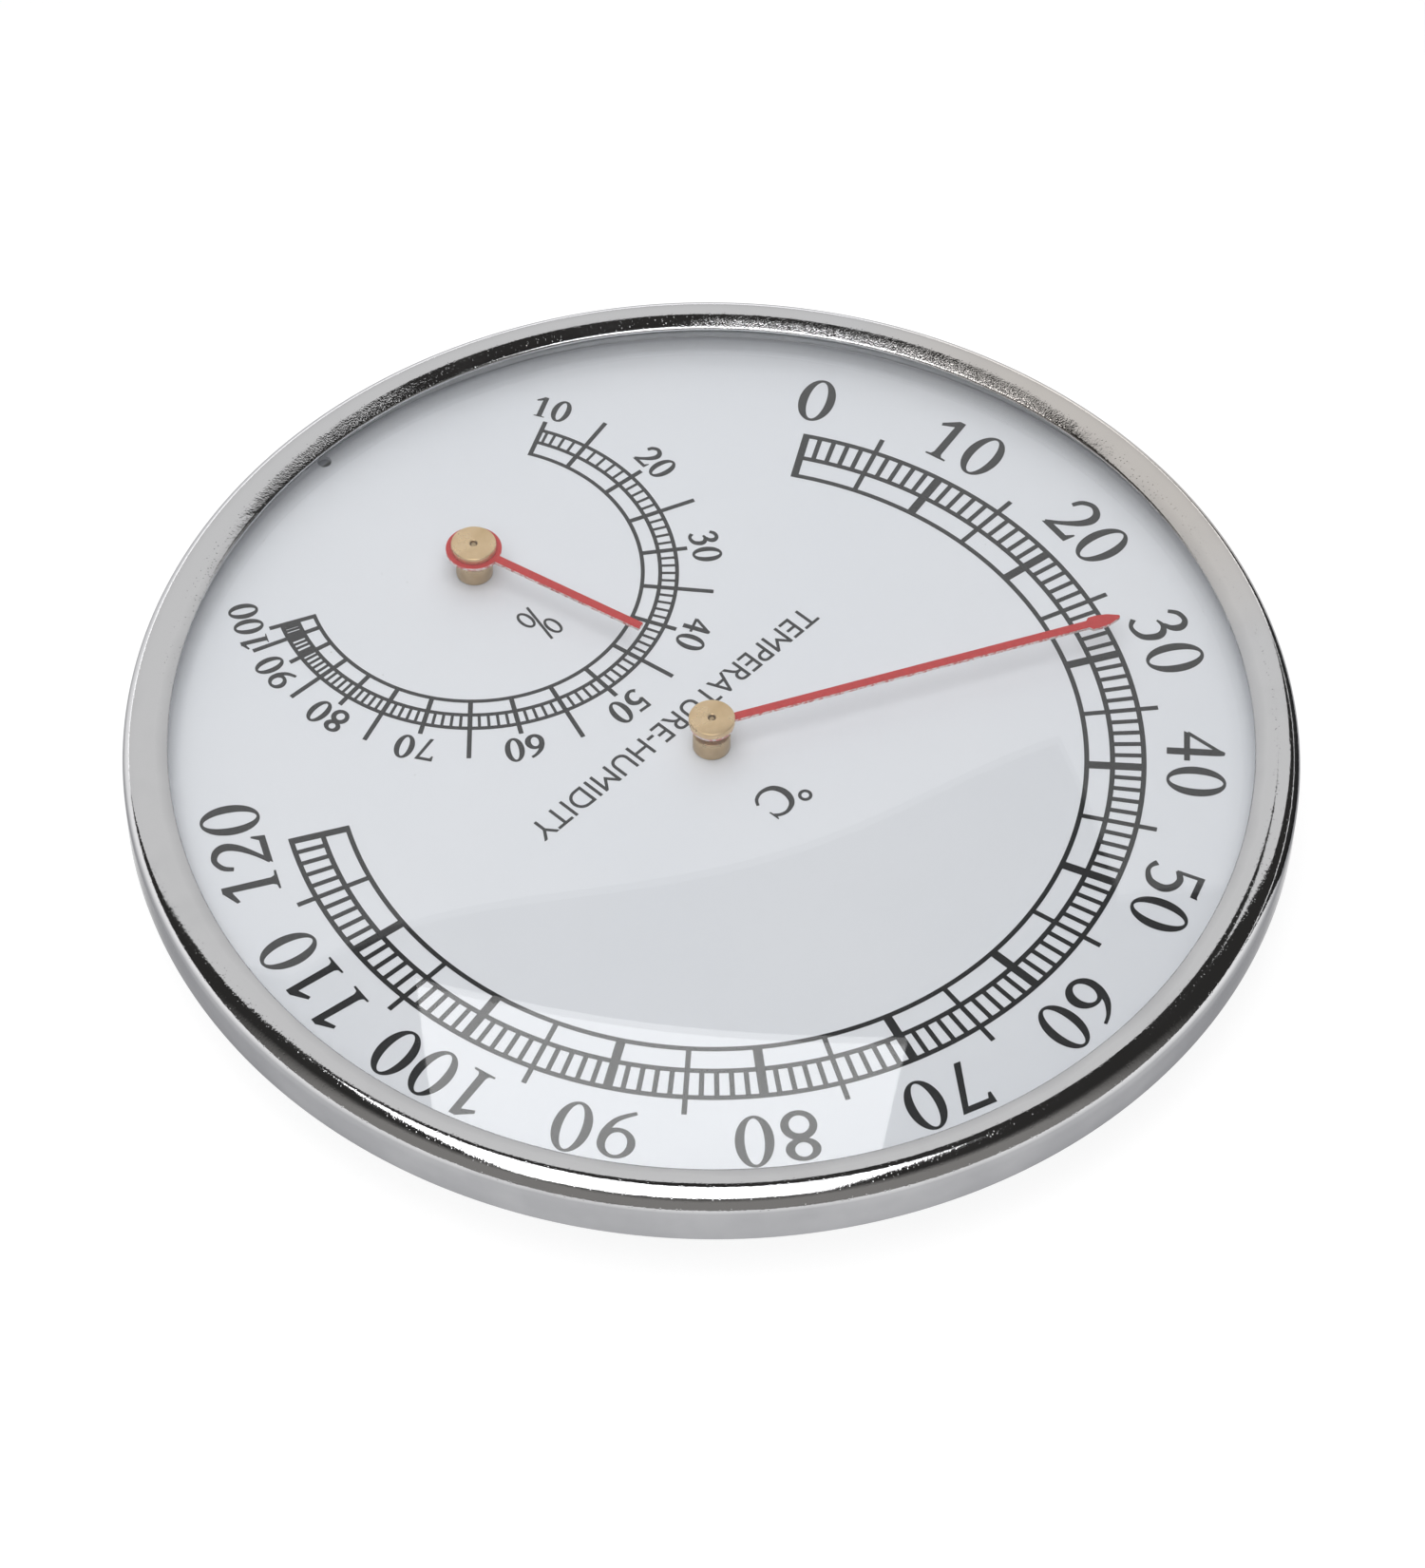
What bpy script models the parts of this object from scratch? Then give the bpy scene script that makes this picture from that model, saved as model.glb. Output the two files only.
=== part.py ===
"""Round dial instrument with a thermometer and a hygrometer movement in one metal case.

It lies on its back with the dial facing up. The origin is the centre of the back, +Z is the
dial's outward normal, +Y points to 12 o'clock and +X to 3 o'clock.
"""

import math

import bmesh
import bpy
from mathutils import Matrix

MM = 0.001  # every length below is in millimetres and is scaled by this when it is built

# Driving dimensions
CASE_R = 63.5  # outside of the bezel: a 127 mm case
DIAL_Z = 10.0  # printed face of the dial above the back
DIAL_T = 0.5
SHEET = 0.6  # wall of the pressed case
GAP = 0.3  # clearance between neighbouring round pieces
SEAT = 0.1  # clearance between flat faces that rest on each other
BIG_STEPS = 72  # facets round the case, the bezel and the glass
SMALL_STEPS = 20  # facets round the movements' turned pieces

# The two movements: where each axis stands on the dial, and its hand and coil.
# Readings are clock angles in degrees from 12 o'clock, clockwise seen from the front.
HYGRO_Y = -36.2
THERMO = {
    "name": "thermo",
    "y": 0.0,
    "reading": -62.3,
    "hand_length": 47.3,
    "arrow": True,
    "eye_r": 2.4,
    "coil_r": 9.0,
    "coil_turns": 4.5,
}
HYGRO = {
    "name": "hygro",
    "y": HYGRO_Y,
    "reading": -12.2,
    "hand_length": 21.7,
    "arrow": False,
    "eye_r": 3.1,
    "coil_r": 11.0,
    "coil_turns": 5.5,
}

# Bezel: heights are above the dial face
CREST_R = 61.7
CREST_H = 4.7
LIP_R = 58.8
LIP_H = 3.8
LIP_T = 0.35
BEZEL_WALL = 0.8
SHOULDER_H = 2.9
SKIRT_FOOT = -0.9
CRIMP = 1.3
CRIMP_T = 0.5

# Case
FLOOR_R = 51.6
FLANK_FOOT_R = 54.6
FLANK_FOOT_Z = 1.4
FLANK_TOP_Z = 8.7
SIDE_R = 61.9
RIM_R = CASE_R - BEZEL_WALL - GAP
RIM_TOP_H = 2.4
LEDGE_R = 60.2

# Glass: a shallow dome that clears the hubs, and the hands at every reading
GLASS_R = 61.5
GLASS_T = 1.2
GLASS_EDGE_H = 1.05
GLASS_SAG = 7.5
GLASS_POWER = 3.4  # over 2: flatter in the middle and steeper at the edge than a sphere

# Hanging hole and vents in the back
HANGING_HOLE_Y = 44.0
HANGING_HOLE_R = 1.9
VENT_R = 1.6
VENT_RING_R = 10.0
VENTS = 8

# Movement, along its axis
BUSH_R = 2.05
BUSH_H = 2.5
NECK_R = 1.6
NECK_FOOT_Z = 6.8
BUSH_BORE_R = 0.95
STAFF_R = 0.75
STAFF_TIP_R = 0.33
PIVOT_R = 0.45
HUB_R = 2.55
HUB_TOP_H = 4.9
HUB_T = 0.78
HUB_NECK_R = 1.25
HUB_BORE_R = 0.42
HUB_NECK_FOOT_H = 2.8
HAND_H = 3.72  # underside of the hand above the dial
HAND_T = 0.36
HAND_W = 1.0
ARROW_L = 3.6
ARROW_W = 1.8
BRIDGE_W = 7.0
BRIDGE_T = 0.7
BRIDGE_FOOT_Z = 2.2
BRIDGE_TOP_Z = DIAL_Z - DIAL_T - 0.15
COIL_Z = (3.8, 6.2)
COIL_T = 0.3
COIL_INNER_R = 2.2
COLLET_R = 2.0
COLLET_Z = (3.5, 6.4)
POST_R = 0.9


def clear_scene():
    for obj in list(bpy.data.objects):
        bpy.data.objects.remove(obj, do_unlink=True)


def new_collection(name, hidden=False):
    collection = bpy.data.collections.new(name)
    bpy.context.scene.collection.children.link(collection)
    collection.hide_render = hidden
    return collection


clear_scene()
PARTS = new_collection("dial_thermo_hygrometer")
CUTTERS = new_collection("cutters", hidden=True)


def material(name, color, roughness, metallic=0.0, alpha=1.0):
    made = bpy.data.materials.new(name)
    made.use_nodes = True
    shader = made.node_tree.nodes["Principled BSDF"]
    shader.inputs["Base Color"].default_value = (*color, 1.0)
    shader.inputs["Roughness"].default_value = roughness
    shader.inputs["Metallic"].default_value = metallic
    shader.inputs["Alpha"].default_value = alpha
    return made


CHROME = material("chrome", (0.78, 0.78, 0.80), 0.12, 1.0)
GLASS = material("glass", (0.95, 0.97, 0.97), 0.02, 0.0, 0.2)
SPACER = material("spacer", (0.78, 0.79, 0.80), 0.5)
DIAL = material("dial", (0.72, 0.73, 0.75), 0.45)
CASE = material("case", (0.62, 0.63, 0.65), 0.35, 0.9)
BRASS = material("brass", (0.72, 0.55, 0.30), 0.3, 1.0)
STEEL = material("steel", (0.55, 0.55, 0.56), 0.3, 1.0)
BIMETAL = material("bimetal", (0.50, 0.46, 0.40), 0.35, 1.0)
HUMIDITY_STRIP = material("humidity_strip", (0.62, 0.58, 0.48), 0.7)
RED = material("red_paint", (0.61, 0.08, 0.08), 0.4)


def link(obj, finish=None):
    """Puts an object in the parts' collection, or among the hidden cutters when it has no finish."""
    if finish is None:
        CUTTERS.objects.link(obj)
        obj.hide_render = True
        obj.display_type = "WIRE"
    else:
        PARTS.objects.link(obj)
        obj.data.materials.append(finish)
    return obj


def arc(centre, radius, start, end, count):
    """Points on an arc, from one angle in degrees to another, both included."""
    angles = [math.radians(start + (end - start) * i / (count - 1)) for i in range(count)]
    return [(centre[0] + radius * math.cos(a), centre[1] + radius * math.sin(a)) for a in angles]


def circle(centre, radius, count):
    return arc(centre, radius, 0, 360, count + 1)[:-1]


def turned(name, finish, profile, steps, closed=True, centre_y=0.0):
    """A piece turned from an (r, z) profile that runs down its outer side."""
    mesh = bpy.data.meshes.new(name)
    edges = [(i, i + 1) for i in range(len(profile) - 1)]
    if closed:
        edges.append((len(profile) - 1, 0))
    mesh.from_pydata([(r * MM, 0, z * MM) for r, z in profile], edges, [])
    obj = bpy.data.objects.new(name, mesh)
    obj.location.y = centre_y * MM
    screw = obj.modifiers.new("turn", "SCREW")
    screw.steps = steps
    screw.render_steps = steps
    screw.use_merge_vertices = True
    screw.merge_threshold = 0.00001
    return link(obj, finish)


def outline_curve(name, outlines, thickness):
    """A 2D curve of closed outlines, the first outside and the rest holes, filled and extruded."""
    curve = bpy.data.curves.new(name, "CURVE")
    curve.dimensions = "2D"
    curve.fill_mode = "BOTH"
    curve.extrude = thickness * MM / 2
    for points in outlines:
        spline = curve.splines.new("POLY")
        spline.points.add(len(points) - 1)
        for point, (x, y) in zip(spline.points, points):
            point.co = (x * MM, y * MM, 0, 1)
        spline.use_cyclic_u = True
    return bpy.data.objects.new(name, curve)


def flat_piece(name, finish, outlines, bottom_z, thickness, centre_y=0.0):
    obj = outline_curve(name, outlines, thickness)
    obj.location = (0, centre_y * MM, (bottom_z + thickness / 2) * MM)
    return link(obj, finish)


def mesh_from_curve(curve_obj, finish):
    """Replaces a curve object by a mesh object with its caps welded, so that it can be cut."""
    PARTS.objects.link(curve_obj)
    bpy.context.view_layer.update()
    graph = bpy.context.evaluated_depsgraph_get()
    mesh = bpy.data.meshes.new_from_object(curve_obj.evaluated_get(graph))
    shape = bmesh.new()
    shape.from_mesh(mesh)
    bmesh.ops.remove_doubles(shape, verts=shape.verts, dist=0.000001)
    bmesh.ops.recalc_face_normals(shape, faces=shape.faces)
    shape.to_mesh(mesh)
    shape.free()
    name = curve_obj.name
    matrix = curve_obj.matrix_world.copy()
    bpy.data.objects.remove(curve_obj, do_unlink=True)
    obj = bpy.data.objects.new(name, mesh)
    obj.matrix_world = matrix
    return link(obj, finish)


def round_cutter(name, centre, radius, low_z, high_z, steps=SMALL_STEPS):
    shape = bmesh.new()
    middle = Matrix.Translation((centre[0] * MM, centre[1] * MM, (low_z + high_z) / 2 * MM))
    bmesh.ops.create_cone(
        shape,
        cap_ends=True,
        segments=steps,
        radius1=radius * MM,
        radius2=radius * MM,
        depth=(high_z - low_z) * MM,
        matrix=middle,
    )
    mesh = bpy.data.meshes.new(name)
    shape.to_mesh(mesh)
    shape.free()
    return link(bpy.data.objects.new(name, mesh))


def cut(obj, cutter):
    boolean = obj.modifiers.new("cut_" + cutter.name, "BOOLEAN")
    boolean.operation = "DIFFERENCE"
    boolean.solver = "EXACT"
    boolean.object = cutter


def smooth(obj, degrees=35):
    obj.data.shade_smooth()
    obj.data.set_sharp_from_angle(angle=math.radians(degrees))


def bezel_ring():
    """Chromed rim: a sloping lip over the glass, a rounded crest and a skirt crimped at its foot."""
    z = DIAL_Z
    inner = CASE_R - BEZEL_WALL
    shoulder_w = CASE_R - CREST_R
    shoulder_h = CREST_H - SHOULDER_H
    outside = [
        (CREST_R + shoulder_w * math.sin(a), z + SHOULDER_H + shoulder_h * math.cos(a))
        for a in (math.radians(15 * i) for i in range(7))
    ]
    foot = [
        (CASE_R, z + SKIRT_FOOT),
        (CASE_R - CRIMP, z + SKIRT_FOOT),
        (CASE_R - CRIMP, z + SKIRT_FOOT + CRIMP_T),
        (inner, z + SKIRT_FOOT + CRIMP_T),
    ]
    inside = [
        (inner, z + SHOULDER_H),
        (CREST_R + 0.6, z + CREST_H - 1.1),
        (CREST_R - 0.3, z + CREST_H - 0.6),
        (LIP_R, z + LIP_H - LIP_T),
    ]
    lip = [(LIP_R, z + LIP_H), (CREST_R - 0.9, z + CREST_H - 0.15)]
    turned("bezel_ring", CHROME, outside + foot + inside + lip, BIG_STEPS)


def glass_lens():
    """Domed glass of even thickness; its edge sits between the spacer and the bezel's lip."""
    edge = DIAL_Z + GLASS_EDGE_H
    rings = 9
    radii = [GLASS_R * i / rings for i in range(rings + 1)]
    under = [(r, edge + GLASS_SAG * (1 - (r / GLASS_R) ** GLASS_POWER)) for r in radii]
    over = [(r, z + GLASS_T) for r, z in under]
    turned("glass_lens", GLASS, over + under[::-1], BIG_STEPS, closed=False)


def spacer_ring():
    z = DIAL_Z + SEAT
    top = DIAL_Z + GLASS_EDGE_H - SEAT
    inner = GLASS_R - 0.6
    profile = [(GLASS_R, top), (GLASS_R, z), (inner, z), (inner, top)]
    turned("spacer_ring", SPACER, profile, BIG_STEPS)


def dial_plate():
    """Printed sheet with a hole for each bush and a small locating hole at 6 o'clock."""
    outlines = [
        circle((0, 0), LEDGE_R + 0.8, BIG_STEPS),
        circle((0, THERMO["y"]), NECK_R + GAP, SMALL_STEPS),
        circle((0, HYGRO["y"]), NECK_R + GAP, SMALL_STEPS),
        circle((0, -LEDGE_R + 0.2), 0.8, 12),
    ]
    flat_piece("dial_plate", DIAL, outlines, DIAL_Z - DIAL_T, DIAL_T)


def back_case():
    """Pressed pan with a ledge for the dial, a rim inside the bezel, a hanging hole and vents."""
    rim_top = DIAL_Z + RIM_TOP_H
    joggle = DIAL_Z - SEAT
    ledge = DIAL_Z - DIAL_T - SEAT
    slope = (SIDE_R - FLANK_FOOT_R) / (FLANK_TOP_Z - FLANK_FOOT_Z)
    inner_foot = (FLANK_FOOT_R - SHEET, FLANK_FOOT_Z + 0.5)
    inner_top = (LEDGE_R, inner_foot[1] + (LEDGE_R - inner_foot[0]) / slope)
    profile = [
        (0, SHEET),
        (FLOOR_R - 0.3, SHEET),
        inner_foot,
        inner_top,
        (LEDGE_R, ledge),
        (SIDE_R - SHEET, ledge),
        (SIDE_R - SHEET, joggle + 0.1),
        (RIM_R - SHEET, joggle + 0.3),
        (RIM_R - SHEET, rim_top),
        (RIM_R, rim_top),
        (RIM_R, joggle),
        (SIDE_R, joggle),
        (SIDE_R, FLANK_TOP_Z),
        (FLANK_FOOT_R, FLANK_FOOT_Z),
        (FLANK_FOOT_R - 1.2, 0.45),
        (FLOOR_R, 0),
        (0, 0),
    ]
    case = turned("back_case", CASE, profile, BIG_STEPS, closed=False)
    hanging_hole = round_cutter("hanging_hole", (0, HANGING_HOLE_Y), HANGING_HOLE_R, -1, 2)
    cut(case, hanging_hole)
    for side in (THERMO, HYGRO):
        for i in range(VENTS):
            angle = 2 * math.pi * (i + 0.5) / VENTS
            x = VENT_RING_R * math.cos(angle)
            y = side["y"] + VENT_RING_R * math.sin(angle)
            cut(case, round_cutter(f"{side['name']}_vent_{i}", (x, y), VENT_R, -1, 2, 12))


def bush(side):
    """Shouldered brass bearing that stands on the dial and clamps the bridge behind it."""
    shoulder = DIAL_Z + SEAT
    top = DIAL_Z + BUSH_H
    profile = [
        (BUSH_R - 0.15, top),
        (BUSH_R, top - 0.15),
        (BUSH_R, shoulder),
        (NECK_R, shoulder),
        (NECK_R, NECK_FOOT_Z),
        (BUSH_BORE_R, NECK_FOOT_Z),
        (BUSH_BORE_R, top),
    ]
    turned(side["name"] + "_bush", BRASS, profile, SMALL_STEPS, centre_y=side["y"])


def washer_and_nut(side):
    hole = circle((0, 0), NECK_R + GAP, SMALL_STEPS)
    washer_z = BRIDGE_TOP_Z - BRIDGE_T - SEAT - 0.35
    washer = [circle((0, 0), 3.4, SMALL_STEPS), hole]
    flat_piece(side["name"] + "_bush_washer", STEEL, washer, washer_z, 0.35, side["y"])
    nut = [circle((0, 0), 3.2, 6), hole]
    flat_piece(side["name"] + "_bush_nut", BRASS, nut, washer_z - SEAT - 1.2, 1.2, side["y"])


def bridge(side):
    """C-shaped strip: one leg under the dial, one across the back that carries the rear pivot."""
    reach = side["coil_r"] + 4.7
    low = BRIDGE_FOOT_Z
    high = BRIDGE_TOP_Z
    bend = 1.2
    inner_bend = bend - BRIDGE_T
    outline = [(-BRIDGE_W / 2, low)]
    outline += arc((reach - bend, low + bend), bend, -90, 0, 4)
    outline += arc((reach - bend, high - bend), bend, 0, 90, 4)
    outline += [(-BRIDGE_W / 2, high), (-BRIDGE_W / 2, high - BRIDGE_T)]
    outline += arc((reach - bend, high - bend), inner_bend, 90, 0, 4)
    outline += arc((reach - bend, low + bend), inner_bend, 0, -90, 4)
    outline += [(-BRIDGE_W / 2, low + BRIDGE_T)]
    strip = outline_curve(side["name"] + "_bridge", [outline], BRIDGE_W)
    strip.rotation_euler.x = math.pi / 2
    strip.location.y = side["y"] * MM
    strip = mesh_from_curve(strip, STEEL)
    axis = (0, side["y"])
    pivot = round_cutter(side["name"] + "_pivot_hole", axis, PIVOT_R + 0.1, low - 1, low + 2)
    neck = round_cutter(side["name"] + "_neck_hole", axis, NECK_R + GAP, high - 2, high + 1)
    cut(strip, pivot)
    cut(strip, neck)


def anchor_post(side):
    """Riveted post on the bridge that holds the coil's outer end."""
    base = BRIDGE_FOOT_Z + BRIDGE_T + SEAT
    profile = [(0, COIL_Z[1] + 0.4), (POST_R, COIL_Z[1] + 0.4), (POST_R, base), (0, base)]
    post = turned(side["name"] + "_anchor_post", STEEL, profile, 12, False, side["y"])
    post.location.x = (side["coil_r"] + COIL_T + POST_R) * MM


def coil(side, finish):
    """Flat spiral strip from the collet on the staff out to the post."""
    turns = side["coil_turns"]
    count = round(turns * 14)
    points = []
    for i in range(count + 1):
        share = i / count
        radius = COIL_INNER_R + (side["coil_r"] - COIL_INNER_R) * share
        angle = -2 * math.pi * turns * (1 - share)
        points.append((radius * math.cos(angle), radius * math.sin(angle)))
    name = side["name"] + "_coil"
    curve = bpy.data.curves.new(name, "CURVE")
    curve.dimensions = "3D"
    curve.extrude = (COIL_Z[1] - COIL_Z[0]) * MM / 2
    spline = curve.splines.new("POLY")
    spline.points.add(count)
    for point, (x, y) in zip(spline.points, points):
        point.co = (x * MM, y * MM, 0, 1)
    obj = bpy.data.objects.new(name, curve)
    obj.location = (0, side["y"] * MM, (COIL_Z[0] + COIL_Z[1]) / 2 * MM)
    strip = obj.modifiers.new("strip", "SOLIDIFY")
    strip.thickness = COIL_T * MM
    strip.offset = 0
    link(obj, finish)


def axis_empty(side):
    """The hand's axis, turned to its reading; everything on the staff is parented to it."""
    empty = bpy.data.objects.new(side["name"] + "_axis", None)
    PARTS.objects.link(empty)
    empty.location.y = side["y"] * MM
    empty.rotation_euler.z = -math.radians(side["reading"])
    return empty


def staff(side):
    """Stepped steel arbor: a thin tip in the hub, the bearing length, and a pivot at the back."""
    shoulder = DIAL_Z + HUB_NECK_FOOT_H - SEAT
    pivot_top = BRIDGE_FOOT_Z + BRIDGE_T + 0.2
    profile = [
        (0, DIAL_Z + HUB_TOP_H - 0.2),
        (STAFF_TIP_R, DIAL_Z + HUB_TOP_H - 0.2),
        (STAFF_TIP_R, shoulder),
        (STAFF_R, shoulder),
        (STAFF_R, pivot_top),
        (PIVOT_R, pivot_top),
        (PIVOT_R, BRIDGE_FOOT_Z - 0.5),
        (0, BRIDGE_FOOT_Z - 0.5),
    ]
    return turned(side["name"] + "_staff", STEEL, profile, 16, closed=False)


def coil_collet(side):
    bore = STAFF_R + SEAT
    profile = [
        (COLLET_R, COLLET_Z[1]),
        (COLLET_R, COLLET_Z[0]),
        (bore, COLLET_Z[0]),
        (bore, COLLET_Z[1]),
    ]
    return turned(side["name"] + "_coil_collet", BRASS, profile, 16)


def hub_cap(side):
    """Brass disc and neck that pins the hand to the staff."""
    top = DIAL_Z + HUB_TOP_H
    foot = DIAL_Z + HUB_NECK_FOOT_H
    profile = [
        (HUB_R - 0.12, top),
        (HUB_R, top - 0.12),
        (HUB_R, top - HUB_T),
        (HUB_NECK_R, top - HUB_T),
        (HUB_NECK_R, foot),
        (HUB_BORE_R, foot),
        (HUB_BORE_R, top),
    ]
    return turned(side["name"] + "_hub_cap", BRASS, profile, SMALL_STEPS)


def pointer(side):
    """Flat red hand along +Y: a round eye, a narrow strip and an arrow head or a square end."""
    half = HAND_W / 2
    tip = side["hand_length"]
    join = math.degrees(math.asin(half / side["eye_r"]))
    outline = arc((0, 0), side["eye_r"], 90 + join, 450 - join, 21)
    if side["arrow"]:
        neck = tip - ARROW_L
        barb = (ARROW_W / 2, neck + 0.3)
        shoulder = (ARROW_W / 2 - 0.15, neck + 1.5)
        right = [(half, neck), barb, shoulder, (0.18, tip - 0.15)]
        outline += right + [(0, tip)] + [(-x, y) for x, y in right[::-1]]
    else:
        outline += [(half, tip), (-half, tip)]
    hole = circle((0, 0), HUB_NECK_R + SEAT, SMALL_STEPS)
    return flat_piece(side["name"] + "_pointer", RED, [outline, hole], DIAL_Z + HAND_H, HAND_T)


def movement(side, strip_finish):
    bush(side)
    washer_and_nut(side)
    bridge(side)
    anchor_post(side)
    coil(side, strip_finish)
    axis = axis_empty(side)
    for piece in (staff(side), coil_collet(side), hub_cap(side), pointer(side)):
        piece.parent = axis


bezel_ring()
glass_lens()
spacer_ring()
dial_plate()
back_case()
movement(THERMO, BIMETAL)
movement(HYGRO, HUMIDITY_STRIP)
for part in PARTS.objects:
    if part.type == "MESH":
        smooth(part)
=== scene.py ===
"""Looks of the round thermo-hygrometer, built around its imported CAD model.

The CAD frame holds: +Z out of the dial, +Y to 12 o'clock, +X to 3 o'clock, origin at the centre
of the back. Sizes below are in millimetres and are scaled by MM when a mesh is made.
"""

import math

import bmesh
import bpy
from mathutils import Matrix, Vector
from mathutils.geometry import delaunay_2d_cdt

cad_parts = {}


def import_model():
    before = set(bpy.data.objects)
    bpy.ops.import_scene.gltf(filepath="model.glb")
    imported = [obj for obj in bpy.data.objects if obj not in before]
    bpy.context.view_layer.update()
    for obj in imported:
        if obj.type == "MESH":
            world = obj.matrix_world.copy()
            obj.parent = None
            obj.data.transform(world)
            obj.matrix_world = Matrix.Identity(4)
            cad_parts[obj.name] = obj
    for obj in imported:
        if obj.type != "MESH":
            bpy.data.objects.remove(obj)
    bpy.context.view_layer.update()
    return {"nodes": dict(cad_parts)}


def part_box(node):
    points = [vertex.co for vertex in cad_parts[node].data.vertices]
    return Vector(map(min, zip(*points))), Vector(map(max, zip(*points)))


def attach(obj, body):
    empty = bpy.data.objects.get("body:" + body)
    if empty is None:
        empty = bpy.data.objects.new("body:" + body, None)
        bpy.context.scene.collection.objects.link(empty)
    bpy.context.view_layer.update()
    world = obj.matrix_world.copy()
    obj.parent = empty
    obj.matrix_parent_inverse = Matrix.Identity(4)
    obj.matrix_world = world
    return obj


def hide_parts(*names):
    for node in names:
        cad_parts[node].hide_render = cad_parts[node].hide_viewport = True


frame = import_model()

MM = 0.001


def extent(node):
    """Lowest and highest corner of a CAD node, in millimetres."""
    low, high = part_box(node)
    return low / MM, high / MM


# Sizes that come from the frame
CASE_R = extent("bezel_ring")[1].x
BEZEL_TOP = extent("bezel_ring")[1].z
BEZEL_FOOT = extent("bezel_ring")[0].z
DIAL_R = extent("dial_plate")[1].x
DIAL_FOOT, DIAL_Z = extent("dial_plate")[0].z, extent("dial_plate")[1].z
GLASS_R = extent("glass_lens")[1].x
GLASS_EDGE_Z = extent("glass_lens")[0].z
GLASS_TOP = extent("glass_lens")[1].z
SPACER_FOOT, SPACER_TOP = extent("spacer_ring")[0].z, extent("spacer_ring")[1].z
RIM_R, RIM_TOP = extent("back_case")[1].x, extent("back_case")[1].z
BUSH_R = (extent("thermo_bush")[1].x - extent("thermo_bush")[0].x) / 2
BUSH_FOOT, BUSH_TOP = extent("thermo_bush")[0].z, extent("thermo_bush")[1].z
CAP_R = (extent("thermo_hub_cap")[1].x - extent("thermo_hub_cap")[0].x) / 2
CAP_FOOT, CAP_TOP = extent("thermo_hub_cap")[0].z, extent("thermo_hub_cap")[1].z
STAFF_FOOT, STAFF_TOP = extent("thermo_staff")[0].z, extent("thermo_staff")[1].z
HAND_FOOT, HAND_TOP = extent("thermo_pointer")[0].z, extent("thermo_pointer")[1].z
HYGRO_Y = (extent("hygro_bush")[0].y + extent("hygro_bush")[1].y) / 2

# Sizes of the model that a box doesn't give
SHOULDER_R = 2.6  # outer shoulder of the bezel, in section
SHOULDER_END = 18.0  # degrees of inward tilt where the shoulder passes into the flatter slope
SLOPE_R = 42.0
SLOPE_END = 20.0
LIP_ROLL_R = 0.3
BEZEL_WALL = 0.8
CRIMP_W = 1.3  # width of the skirt's foot, where it turns in under the case
SKIRT_DROP = 0.6  # how far the finished skirt reaches below the plain ring of the CAD model
GLASS_T = 1.2
GLASS_POWER = 3.4  # the dome falls with this power of the distance from its middle
SPACER_W = 0.6
SHEET = 0.6  # thickness of the pressed case
STAFF_R = 0.75
STAFF_TIP_R = 0.33
STAFF_PIVOT_R = 0.45
STAFF_PIVOT_TOP = 3.1
BUSH_BORE_R = 0.95
BUSH_STEM_R = 1.6
BUSH_HOLE_R = 1.9  # in the dial
CAP_BORE_R = 0.42
CAP_NECK_R = 1.25
CAP_DISC_H = 0.78
HAND_W = 1.0
HAND_HOLE_R = 1.35
THERMO_HAND = (47.3, 2.4)  # length from the staff's axis, and radius of the eye
HYGRO_HAND = (21.7, 3.1)
LOCATING_HOLE = (0, -60.15, 0.8)  # x, y and radius
HANGING_HOLE = (0, 44, 1.9)
VENT_R = 1.6
VENT_RING_R = 10.0
VENTS = 8
PITTED_TURN = math.radians(204)  # direction from the centre to the pitted stretch of plating
WORN_TURN = math.radians(268)  # direction to a second, shorter one
WARM_TINT_TURN = math.radians(176)  # direction to the middle of a faint warm tint on the plating

# Printed scales. Angles are clock angles in degrees from 12 o'clock, clockwise.
INK_GAP = 0.004
INK_T = 0.03
DIGIT_W = 0.75  # advance of a numeral, as a share of its height
THERMO_RINGS = (46.83, 43.43, 40.64)
THERMO_LINE, THERMO_MINOR, THERMO_MAJOR = 0.56, 0.54, 1.0  # line widths
THERMO_NUMERAL_R = 52.5
THERMO_NUMERAL_H = 6.28
HYGRO_RINGS = (22.5, 20.63, 18.69)
HYGRO_LINE, HYGRO_MINOR, HYGRO_MAJOR = 0.44, 0.33, 0.53
HYGRO_NUMERAL_R = 26.0
HYGRO_NUMERAL_H = 3.1
HYGRO_TENS = (-115.2, -83.0, -52.2, -23.2, 4.8, 32.9, 59.5, 83.1, 103.0, 116.1)  # 10 to 100 %

# Readings at rest
THERMO_READING = -62.3
HYGRO_READING = -12.2


# ---------------------------------------------------------------- shapes


def arc(centre, radius, start, end, count):
    """Points on an arc, from one angle in degrees to another, both included."""
    angles = [math.radians(start + (end - start) * i / (count - 1)) for i in range(count)]
    return [(centre[0] + radius * math.cos(a), centre[1] + radius * math.sin(a)) for a in angles]


def circle(centre, radius, count):
    return arc(centre, radius, 0, 360, count + 1)[:-1]


def rounded(corners, count=5):
    """An open outline whose corners, given as (x, y, radius), are turned into arcs."""
    points = []
    for i, (x, y, radius) in enumerate(corners):
        here = Vector((x, y))
        if radius == 0 or i in (0, len(corners) - 1):
            points.append((x, y))
            continue
        back = (Vector(corners[i - 1][:2]) - here).normalized()
        ahead = (Vector(corners[i + 1][:2]) - here).normalized()
        half = back.angle(ahead) / 2
        centre = here + (back + ahead).normalized() * radius / math.sin(half)
        first = here + back * radius / math.tan(half) - centre
        last = here + ahead * radius / math.tan(half) - centre
        for k in range(count):
            share = k / (count - 1)
            spoke = (first * (1 - share) + last * share).normalized() * radius
            points.append(tuple(centre + spoke))
    return points


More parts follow.
